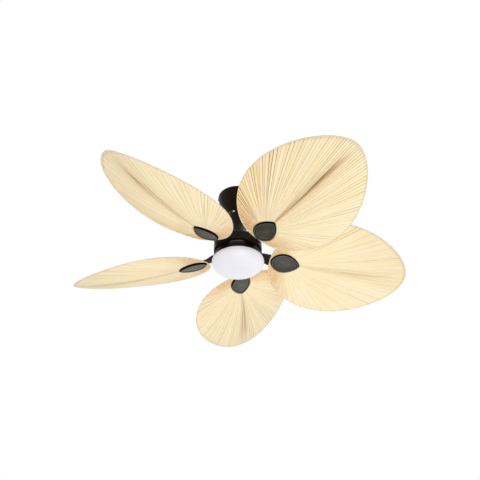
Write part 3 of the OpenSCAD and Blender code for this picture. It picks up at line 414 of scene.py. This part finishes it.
def fold_share(fade):
    """Share of the pleats' depth at a share of the way from the flat patch to the edge."""
    for (start, low), (end, high) in zip(FOLD_SHARES, FOLD_SHARES[1:]):
        if fade <= end:
            return low + (high - low) * (fade - start) / (end - start)
    return FOLD_SHARES[-1][1]


def leaf_point(turn, v, seed, lift=0.0, out=0.0):
    """A point of leaf number seed, v running from 0 at the palm point to 1 at the edge."""
    edge = leaf_edge(turn)
    ray = edge - Vector((PALM_X, 0))
    flat = min(FLAT_R, 0.9 * ray.length)
    if v <= FLAT_ROWS:
        reach, fade = flat * v / FLAT_ROWS, 0.0
    else:
        fade = (v - FLAT_ROWS) / (1 - FLAT_ROWS)
        reach = flat + (ray.length - BINDING - flat) * fade
    p = Vector((PALM_X, 0)) + ray.normalized() * (reach + out)
    phase = turn * 2 * PLEATS
    k = round(phase) if abs(phase - round(phase)) < 1e-6 else math.floor(phase)
    share = phase - k
    zig = (1 - 2 * share if k % 2 else 2 * share - 1)
    uneven = 1 + 0.35 * noise.noise((k // 2 * 3.1, seed * 7.7, 0.3))
    wander = noise.noise((turn * 2 * PLEATS * 0.11, fade * 2.2, seed * 5.3))
    grown = max(0.0, min(1.0, (reach - flat) / FOLD_FADE))
    fold = zig * PLEAT_DEPTH * fold_share(fade) * grown / 2 * pleat_width(turn) * uneven
    return leaf_bend(p.x, p.y, fold + 1.6 * fade * grown * wander + lift)


def leaf_mesh(name, i):
    """Makes leaf i as a grid of columns and rows, and puts every point in its place."""
    shape = bmesh.new()
    shape.loops.layers.uv.new("leaf_map")
    bmesh.ops.create_grid(shape, x_segments=COLUMNS, y_segments=ROWS, size=0.5, calc_uvs=True)
    for vertex in shape.verts:
        column = round((vertex.co.x + 0.5) * COLUMNS)
        turn = (column // len(STEPS) + STEPS[column % len(STEPS)]) / (2 * PLEATS)
        vertex.co = leaf_point(turn, vertex.co.y + 0.5, i)
    bmesh.ops.remove_doubles(shape, verts=shape.verts, dist=0.01)
    bmesh.ops.recalc_face_normals(shape, faces=shape.faces)
    bmesh.ops.transform(shape, matrix=blade_place(i), verts=shape.verts)
    mesh = bpy.data.meshes.new(name)
    for face in shape.faces:
        face.smooth = True
    shape.to_mesh(mesh)
    shape.free()
    return mesh


def add_piece(name, mesh, material, body, slot, *replaced):
    """Links a new piece, gives it its material, and lets it ride on its body."""
    piece = bpy.data.objects.new(name, mesh)
    bpy.context.scene.collection.objects.link(piece)
    mesh.materials.clear()
    mesh.materials.append(material)
    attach(piece, body)
    if replaced:
        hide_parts(*replaced)
    return piece


# %% [markdown]
# ## The leaf's colour
# Dried palm leaf is the colour of straw. Seen close, it has three things. First, a brown line down every crease,
# where dust and the thicker rib show; this line is also painted shade in the valleys of the pleats. Second, fine
# veins that run along the pleats. Third, pleats that dried to slightly different tints. The midrib is the darkest
# place: the creases there crowd together into strands, and the old leaf kept some green. A broad band along the
# midrib is painted shade of the valley it lies in. All of it follows the pleats, so the pattern reads the leaf's own
# map: across it counts pleats and up it runs from the stalk to the edge. Each leaf carries four values of its own:
# its number, how dark its creases are, how dark the strands and painted shade of its midrib are, and how wide the
# creases of one lobe are. The crease and lobe values are painted shade, for how the light grazes the pleats of each
# leaf and of one side of it.

# %% Palm leaf material
palm, tree, shader, in_mm = start_material("dried_palm_leaf", ior=1.45, sheen_weight=0.15)
leaf_map = add_node(tree, "UVMap", uv_map="leaf_map")
split = add_node(tree, "SeparateXYZ", links={0: leaf_map.outputs[0]})
across, along = split.outputs[0], split.outputs[1]


def math_node(operation, a, b=None, clamp=False):
    """A Math node on two sockets or numbers."""
    values = {n: v for n, v in ((0, a), (1, b)) if isinstance(v, (int, float))}
    links = {n: v for n, v in ((0, a), (1, b)) if isinstance(v, bpy.types.NodeSocket)}
    return add_node(tree, "Math", operation=operation, use_clamp=clamp, values=values, links=links).outputs[0]


def strip_noise(pleat_scale, along_scale, offset=0.0, detail=2.0):
    """Noise stretched along the pleats: so many cells to a pleat, so many along the leaf."""
    drawn = add_node(tree, "CombineXYZ", links={0: math_node("MULTIPLY", across, PLEATS * pleat_scale),
                                                1: math_node("MULTIPLY", along, along_scale),
                                                2: math_node("MULTIPLY", seed, 3.7)})
    return add_node(tree, "TexNoise", noise_dimensions="4D", values={"Scale": 1.0, "Detail": detail, "W": offset},
                    links={"Vector": drawn.outputs[0]}).outputs[0]


seed = add_node(tree, "Attribute", attribute_name="leaf_number").outputs["Fac"]
crease_shade_level = add_node(tree, "Attribute", attribute_name="crease_shade_level").outputs["Fac"]
midrib_level = add_node(tree, "Attribute", attribute_name="midrib_level").outputs["Fac"]
lobe_shade_level = add_node(tree, "Attribute", attribute_name="lobe_shade_level").outputs["Fac"]
fold_number = math_node("ADD", math_node("MULTIPLY", across, 2 * PLEATS), 0.5)
from_crease = math_node("ABSOLUTE", math_node("SUBTRACT", math_node("FRACT", fold_number), 0.5))
print("nodes in", palm.name, "so far:", len(tree.nodes))

# %% Creases
from_midrib = math_node("ABSOLUTE", math_node("SUBTRACT", across, 0.5))


def falloff(source, near, far):
    """1 where the source is at near, smoothly down to 0 where it is at far."""
    return add_node(tree, "MapRange", interpolation_type="SMOOTHSTEP",
                    values={"From Min": far, "From Max": near}, links={"Value": source}).outputs[0]


# Near the midrib and towards the short pleats by the stalk, the creases are drawn darker; by the stalk the leaf is
# also browner.
middle, stalk_side = falloff(from_midrib, 0.01, 0.09), falloff(from_midrib, 0.47, 0.3)
past_patch = falloff(along, 0.14, 0.06)
cell = add_node(tree, "CombineXYZ", links={0: math_node("FLOOR", fold_number), 1: seed})
chance = add_node(tree, "TexWhiteNoise", noise_dimensions="2D", links={"Vector": cell.outputs[0]}).outputs["Value"]
strength = math_node("ADD", math_node("MULTIPLY", math_node("POWER", chance, 6.0), 3.0), 0.36)
strength = math_node("ADD", strength, math_node("MULTIPLY", middle, midrib_level))
strength = math_node("ADD", strength, math_node("MULTIPLY", stalk_side, 0.4))
strength = math_node("MULTIPLY", strength, math_node("ADD", strip_noise(0.9, 4, 1.0), 0.45))
strength = math_node("MULTIPLY", strength, crease_shade_level)
# Painted shade: the creases of the first lobe, whose pleats turn away from the light, are drawn wider, more so on
# some leaves.
lobe_widening_shade = math_node("MULTIPLY", falloff(across, 0.16, 0.4), lobe_shade_level)
line = falloff(math_node("DIVIDE", from_crease, math_node("ADD", lobe_widening_shade, 1.0)), 0.0, 0.16)
# The line down each crease is partly the leaf's own brown line and partly painted shade in the pleat's valley.
crease_line_and_shade = math_node("MULTIPLY", line, math_node("MULTIPLY", strength, past_patch), clamp=True)
print("nodes in", palm.name, "so far:", len(tree.nodes))

# %% Veins, tints and the midrib
veins = strip_noise(9, 2.2, 4.0, 3.0)
tints = strip_noise(1.6, 1.2, 9.0, 1.0)
straw = add_node(tree, "ValToRGB", links={0: tints})
straw.color_ramp.elements[0].position, straw.color_ramp.elements[1].position = 0.35, 0.65
straw.color_ramp.elements[0].color, straw.color_ramp.elements[1].color = hex_colour("#fae6ba"), hex_colour("#fdeecb")
vein_share = add_node(tree, "MapRange", values={"From Min": 0.45, "From Max": 0.75, "To Max": 0.4},
                      links={"Value": veins})


def stained(base, colour, share):
    """Mixes a stain into a colour."""
    mixed = add_node(tree, "Mix", data_type="RGBA", values={7: hex_colour(colour)}, links={0: share, 6: base})
    return mixed.outputs[2]


tone = stained(straw.outputs[0], "#e7c488", vein_share.outputs[0])
tone = stained(tone, "#d9a564", math_node("MULTIPLY", stalk_side, math_node("MULTIPLY", veins, 1.3)))
# Painted shade: a broad band along the midrib, where it lies in a valley of the leaf. The darker strands of crowded
# creases lie within it.
midrib_shade_band = math_node("MULTIPLY", falloff(from_midrib, 0.0, 0.05), past_patch)
midrib_shade_band = math_node("MULTIPLY", midrib_shade_band, math_node("MULTIPLY", falloff(along, 0.6, 1.02), midrib_level))
strands = math_node("MULTIPLY", falloff(strip_noise(1.8, 1.6, 6.0, 1.0), 0.53, 0.49), midrib_shade_band)
# The tan band of painted shade along the midrib.
tone = stained(tone, "#d8a862", math_node("MULTIPLY", midrib_shade_band, 0.45, clamp=True))
tone = stained(tone, "#8c6a30", math_node("MULTIPLY", strands, 0.8, clamp=True))
# The brown line and painted shade down each crease.
tone = stained(tone, "#95601f", crease_line_and_shade)
relief = math_node("SUBTRACT", math_node("MULTIPLY", veins, 0.5), crease_line_and_shade)
bump = add_node(tree, "Bump", values={"Distance": 0.35 * MM, "Strength": 1.0}, links={"Height": relief})
gloss = add_node(tree, "MapRange", values={"To Min": 0.5, "To Max": 0.72}, links={"Value": veins})
link(tree, tone, shader, "Base Color")
link(tree, gloss.outputs[0], shader, "Roughness")
link(tree, bump.outputs[0], shader, "Normal")
print("nodes in", palm.name + ":", len(tree.nodes))

# %% Put the five leaves in place
# The crease and lobe values are painted shade, for how the light grazes each leaf's pleats. The midrib values set
# both its strands and the painted shade along it.
CREASE_SHADE_LEVELS = (0.65, 1.0, 0.7, 1.15, 1.35)    # how dark the creases of each leaf are
MIDRIB_LEVELS = (0.3, 0.6, 0.8, 0.9, 1.05)      # and the strands along its midrib
LOBE_SHADE_LEVELS = (0.0, 0.2, 0.3, 1.0, 1.2)         # how much wider the creases of its first lobe are
for i, levels in enumerate(zip(CREASE_SHADE_LEVELS, MIDRIB_LEVELS, LOBE_SHADE_LEVELS), 1):
    mesh = leaf_mesh(f"palm_leaf_{i}", i)
    for name, value in zip(("leaf_number", "crease_shade_level", "midrib_level", "lobe_shade_level"), (float(i), *levels)):
        mesh.attributes.new(name, "FLOAT", "POINT").data.foreach_set("value", [value] * len(mesh.vertices))
    leaf = add_piece(f"palm_leaf_{i}", mesh, palm, "rotor", "palm_leaf", f"blade_{i}")
    thickness = leaf.modifiers.new("thickness", "SOLIDIFY")
    thickness.thickness = LEAF_THICK * MM
    thickness.offset = 0
    print(leaf.name, "has", len(mesh.polygons), "faces on a side")

# %% [markdown]
# ## The bound edge
# A cut leaf would fray, so a narrow tape is folded over its edge and stitched. It shows as a fine, slightly
# darker line round every leaf. It is a flat tube that follows the same outline and rides over the pleats.

# %% Binding
TAPE_WIDTH, TAPE_THICK = 5.0, 3.2
TAPE_SIDES = 8
tape, tape_tree, tape_shader, tape_mm = start_material("stitched_cotton_tape", roughness=0.85, sheen_weight=0.3)
tape_map = add_node(tape_tree, "UVMap", uv_map="tape_map")
ply = add_node(tape_tree, "TexWave", bands_direction="DIAGONAL", values={"Scale": 1.0, "Distortion": 1.0},
               links={"Vector": tape_map.outputs[0]})
tape_tint = add_node(tape_tree, "ValToRGB", links={0: ply.outputs["Fac"]})
tape_tint.color_ramp.elements[0].color = hex_colour("#e8d6ab")
tape_tint.color_ramp.elements[1].color = hex_colour("#f5e8c8")
tape_bump = add_node(tape_tree, "Bump", values={"Distance": 0.3 * MM}, links={"Height": ply.outputs["Fac"]})
link(tape_tree, tape_tint.outputs[0], tape_shader, "Base Color")
link(tape_tree, tape_bump.outputs[0], tape_shader, "Normal")


def tape_mesh(name, i):
    """A flattened tube round the edge of leaf i."""
    shape = bmesh.new()
    map_layer = shape.loops.layers.uv.new("tape_map")
    bmesh.ops.create_grid(shape, x_segments=COLUMNS, y_segments=TAPE_SIDES, size=0.5, calc_uvs=True)
    for face in shape.faces:
        face.smooth = True
        for loop in face.loops:
            loop[map_layer].uv = (loop[map_layer].uv.x * 240, loop[map_layer].uv.y * 4)
    for vertex in shape.verts:
        column = round((vertex.co.x + 0.5) * COLUMNS)
        turn = (column // len(STEPS) + STEPS[column % len(STEPS)]) / (2 * PLEATS)
        a = 2 * math.pi * (vertex.co.y + 0.5)
        lift = TAPE_THICK / 2 * math.sin(a)
        out = TAPE_WIDTH / 2 * (math.cos(a) - 1) + BINDING
        vertex.co = leaf_point(turn, 1.0, i, lift, out)
    bmesh.ops.remove_doubles(shape, verts=shape.verts, dist=0.01)
    bmesh.ops.recalc_face_normals(shape, faces=shape.faces)
    bmesh.ops.transform(shape, matrix=blade_place(i), verts=shape.verts)
    mesh = bpy.data.meshes.new(name)
    shape.to_mesh(mesh)
    shape.free()
    return mesh


for i in BLADES:
    add_piece(f"edge_binding_{i}", tape_mesh(f"edge_binding_{i}", i), tape, "rotor", "palm_leaf")
print("bound edges:", len(BLADES))

# %% [markdown]
# ## The cast irons and the pads
# Each leaf is held between two castings. The lower one is all that the photograph shows of them under a leaf: a
# leaf-shaped pad, crowned, with a raised rim round a sunk field, and every edge rounded as sand casting leaves
# it. The upper one is the iron: a flat bar that leaves the motor level, turns to the leaf's pitch, runs over the
# leaf's root and ends in a thin palm that takes the heads of the screws.
#
# The pad is the leaf's grid again, with other rows. They run over the crowned face from the middle of the
# field, up the rounded step of the rim, round the pad's edge and back across its flat top. The palm is made the
# same way. The arm is a tube with a rounded rectangle for its section, and its rows are the places where it
# changes.

# %% Iron and pad values, in millimetres
PAD_LENGTH, PAD_WIDTH, PAD_THICK, PAD_SHIFT, PAD_CROWN_R = 110, 77, 10, 1, 400
PAD_FACE = (    # share of the outline, height above the crown, wear of the paint and painted light
    (0.0, 2.0, 0.7), (0.3, 2.0, 0.6), (0.6, 2.0, 0.5), (0.72, 2.0, 0.6), (0.76, 2.0, 0.75), (0.78, 1.95, 0.3),
    (0.8, 1.75, 0.0), (0.82, 1.2, 0.0), (0.84, 0.5, 0.3), (0.855, 0.12, 1.0), (0.87, 0.0, 1.0), (0.9, 0.0, 1.0),
    (0.92, 0.08, 0.5), (0.94, 0.3, 0.1), (0.97, 0.95, 0.0), (0.988, 1.9, 0.0), (1.0, 3.4, 0.0),
)
PAD_BACK = (    # share of the outline, height from the leaf, wear and painted light
    (1.0, -0.7, 0.0), (0.994, -0.2, 0.0), (0.982, 0.0, 0.0), (0.5, 0.0, 0.0), (0.0, 0.0, 0.0),
)
PALM_LENGTH, PALM_WIDTH, PALM_NECK = 84, 50, -21.8
PALM_ROWS = (   # share of the outline, height above the leaf
    (0.0, 0.0), (0.5, 0.0), (0.985, 0.0), (1.0, 0.4), (1.0, 2.0), (0.99, 2.6), (0.97, 2.95), (0.95, 3.0), (0.5, 3.0),
    (0.0, 3.0),
)
IRON_DROP, ARM_THICK, ROOT_GAP = 262, 5, 0.6
FOOT_ROWS = ((57, 32), (57.6, 37), (59, 42), (61.5, 46), (65, 48), (90, 48), (93, 48))     # distance out, width
ARM_ROWS = ((-64, 44), (-61, 44), (-37.6, 36), (-34.6, 36))                                # the same from the clamp
TWIST_STEPS, ARM_COLUMNS, ARM_ROUND = 6, 28, 1.2
print("rows of a pad:", len(PAD_FACE) + len(PAD_BACK))


# %% Shapes of the castings
def pad_edge(turn, share):
    """A point of the pad's outline at a share of its size, turn running round it from 0 to 1."""
    u = (1 + math.cos(2 * math.pi * turn)) / 2
    half = PAD_WIDTH / 2 * max(0.0, math.sin(math.pi * u ** 0.82)) ** 0.66
    return Vector((-PAD_LENGTH / 2 - PAD_SHIFT + PAD_LENGTH * u, math.copysign(half, 0.5 - turn))) * share


def pad_point(turn, row):
    """A point of a pad and its value of paint wear and painted light, row counting through its profile."""
    face = row < len(PAD_FACE)
    share, height, wear_and_light = PAD_FACE[row] if face else PAD_BACK[row - len(PAD_FACE)]
    p = pad_edge(turn, share)
    if face:
        height += p.length_squared / (2 * PAD_CROWN_R) - PAD_THICK
    return Vector((p.x, p.y, height - LEAF_THICK / 2)), wear_and_light


def palm_point(turn, row):
    """A point of a palm: the pad's outline made smaller, with the arm's width at its inner end."""
    share, height = PALM_ROWS[row]
    p = pad_edge(turn, PALM_LENGTH / PAD_LENGTH)
    half = min(abs(p.y), PALM_WIDTH / 2)
    if p.x < PALM_NECK:
        half = max(half, ARM_ROWS[-1][1] / 2)
    return Vector((p.x * share, math.copysign(half, 0.5 - turn) * share, height + LEAF_THICK / 2)), 0.0


def arm_sections():
    """The arm's sections from its foot outwards: a centre, two directions, and the half width."""
    tilt = Matrix.Rotation(math.radians(-FIRST_BLADE), 4, "Z") @ Matrix.Scale(1 / MM, 4) @ blade_place(1)
    sections = [(Vector((out, 0, -IRON_DROP - ARM_THICK / 2)), Vector((0, 1, 0)), Vector((0, 0, 1)), width / 2)
                for out, width in FOOT_ROWS]
    arm = [(tilt @ Vector((x, 0, LEAF_THICK / 2 + ROOT_GAP + ARM_THICK / 2)),
            tilt.to_3x3() @ Vector((0, 1, 0)), tilt.to_3x3() @ Vector((0, 0, 1)), width / 2)
           for x, width in ARM_ROWS]
    foot_end, arm_start = sections[-1], arm[0]
    for step in range(1, TWIST_STEPS):
        share = step / TWIST_STEPS
        sections.append(tuple(a + (b - a) * share for a, b in zip(foot_end, arm_start)))
    return sections + arm


SECTIONS = arm_sections()


def arm_point(turn, row):
    """A point of an arm's tube. The first and the last row are drawn together, to close its ends."""
    angle = 2 * math.pi * (round(turn * ARM_COLUMNS) + 0.5) / ARM_COLUMNS
    centre, wide, thick, half = SECTIONS[min(max(row - 1, 0), len(SECTIONS) - 1)]
    y = math.copysign(half - ARM_ROUND, math.cos(angle)) + ARM_ROUND * math.cos(angle)
    z = math.copysign(ARM_THICK / 2 - ARM_ROUND, math.sin(angle)) + ARM_ROUND * math.sin(angle)
    inside = 0 if row in (0, len(SECTIONS) + 1) else 1
    return centre + (wide * y + thick * z) * inside, 0.0


print("sections of an arm:", len(SECTIONS))


# %% Make the castings
def casting_mesh(name, *grids):
    """Makes one mesh of closed grids, each given as columns, rows, a function that puts a point, and a matrix."""
    shape = bmesh.new()
    wear_and_light_layer = shape.verts.layers.float.new("wear_and_painted_light")
    for columns, rows, point, matrix in grids:
        verts = bmesh.ops.create_grid(shape, x_segments=columns, y_segments=rows, size=0.5)["verts"]
        for vertex in verts:
            vertex.co, vertex[wear_and_light_layer] = point(vertex.co.x + 0.5, round((vertex.co.y + 0.5) * rows))
        bmesh.ops.transform(shape, matrix=matrix, verts=verts)
    bmesh.ops.remove_doubles(shape, verts=shape.verts, dist=0.02 * MM)
    bmesh.ops.recalc_face_normals(shape, faces=shape.faces)
    for face in shape.faces:
        face.smooth = True
    mesh = bpy.data.meshes.new(name)
    shape.to_mesh(mesh)
    shape.free()
    return mesh


for i in BLADES:
    turned_out = Matrix.Scale(MM, 4) @ Matrix.Rotation(math.radians(FIRST_BLADE + BLADE_STEP * (i - 1)), 4, "Z")
    iron_mesh = casting_mesh(f"cast_iron_{i}", (ARM_COLUMNS, len(SECTIONS) + 1, arm_point, turned_out),
                             (96, len(PALM_ROWS) - 1, palm_point, blade_place(i)))
    pad_mesh = casting_mesh(f"leaf_pad_{i}", (96, len(PAD_FACE) + len(PAD_BACK) - 1, pad_point, blade_place(i)))
    add_piece(f"cast_iron_{i}", iron_mesh, bronze_iron, "rotor", "bronze_casting", f"blade_iron_{i}")
    add_piece(f"leaf_pad_{i}", pad_mesh, bronze_pad, "rotor", "bronze_casting", f"clamp_plate_{i}")
    print("iron", i, "has", len(iron_mesh.polygons), "faces and its pad", len(pad_mesh.polygons))

# %% [markdown]
# ## The bowl's shape
# The bowl is a thin shell of revolution: a quarter of an ellipse outside, another inside, a flat brim between
# them and a collar that goes up into the pan, with three lugs that turn behind the pan's lip. It is the same
# grid once more. Its rows follow the profile from the lowest point outside, over the brim and the collar, to the
# lowest point inside, so its two ends close on the axis.

# %% Bowl values, in millimetres
BOWL_RIM, BOWL_STEPS, BOWL_COLUMNS = -303.8, 32, 128
BOWL_OUTSIDE, BOWL_INSIDE = (94.0, 34.0), (91.8, 31.8)      # radius and depth of the two ellipses
BRIM = (        # distance from the axis, height
    (94, -303.0), (94, -301.0), (94, -300.3), (93.85, -299.6), (93.4, -298.9), (92.8, -298.5), (92, -298.3),
    (91, -298.3), (84, -298.3), (83.4, -298.3), (83.4, -297.6), (83.4, -292.7), (83.4, -292.1), (82.9, -292.1),
    (81.7, -292.1), (81.2, -292.1), (81.2, -292.7), (81.2, -299.9), (81.2, -300.5), (81.8, -300.5), (91.2, -300.5),
    (91.8, -300.5), (91.8, -301.1),
)
LUGS = 3
LUG = ((82.9, 85.3), 14.0, (-295.7, -293.7))                # from and to along its radius, width, heights


def quarter(radius, depth, step):
    """A point of an ellipse, step running from 0 at its lowest point to BOWL_STEPS at the rim."""
    a = math.pi / 2 * step / BOWL_STEPS
    return radius * math.sin(a), BOWL_RIM - depth * math.cos(a)


PROFILE = ([quarter(*BOWL_OUTSIDE, step) for step in range(BOWL_STEPS + 1)] + list(BRIM)
           + [quarter(*BOWL_INSIDE, step) for step in range(BOWL_STEPS, -1, -1)])
print("points of the bowl's profile:", len(PROFILE))

# %% Make the bowl
shape = bmesh.new()
rows = len(PROFILE) - 1
for vertex in bmesh.ops.create_grid(shape, x_segments=BOWL_COLUMNS, y_segments=rows, size=0.5)["verts"]:
    a = 2 * math.pi * round((vertex.co.x + 0.5) * BOWL_COLUMNS) / BOWL_COLUMNS
    radius, height = PROFILE[round((vertex.co.y + 0.5) * rows)]
    vertex.co = (radius * math.cos(a), radius * math.sin(a), height)
bmesh.ops.remove_doubles(shape, verts=shape.verts, dist=0.01)
for face in shape.faces:
    face.smooth = True
(near, far), lug_width, (low, high) = LUG
for i in range(LUGS):
    placed = (Matrix.Rotation(2 * math.pi * i / LUGS, 4, "Z")
              @ Matrix.Translation(((near + far) / 2, 0, (low + high) / 2))
              @ Matrix.Diagonal((far - near, lug_width, high - low, 1)))
    bmesh.ops.create_cube(shape, size=1, matrix=placed)
bmesh.ops.recalc_face_normals(shape, faces=shape.faces)
bmesh.ops.scale(shape, vec=(MM, MM, MM), verts=shape.verts)
bowl_mesh = bpy.data.meshes.new("opal_bowl")
shape.to_mesh(bowl_mesh)
shape.free()
bowl = add_piece("opal_bowl", bowl_mesh, opal, "shade", "opal_acrylic", "shade")
print(bowl.name, "has", len(bowl_mesh.polygons), "faces")

# %% [markdown]
# ## The floor's finish
# The floor is a pale painted board that only has to carry the fan's shadow and throw light back up. It stands in
# weak light, so a glow that only the camera sees brings it up to the white of the world behind it.

# %% Floor
FLOOR_GLOW = 0.42
floor_paint, tree, shader, in_mm = start_material("pale_floor_paint", roughness=0.8)
path = add_node(tree, "LightPath")
seen = add_node(tree, "Math", operation="MULTIPLY", values={1: FLOOR_GLOW}, links={0: path.outputs["Is Camera Ray"]})
shader.inputs["Emission Color"].default_value = (1, 1, 1, 1)
link(tree, seen.outputs[0], shader, "Emission Strength")
mottle = add_node(tree, "TexNoise", values={"Scale": 1 / 400, "Detail": 3.0}, links={"Vector": in_mm})
pale = add_node(tree, "ValToRGB", links={0: mottle.outputs[0]})
pale.color_ramp.elements[0].color, pale.color_ramp.elements[1].color = hex_colour("#efefee"), hex_colour("#f5f5f4")
link(tree, pale.outputs[0], shader, "Base Color")
floor.data.materials.append(floor_paint)
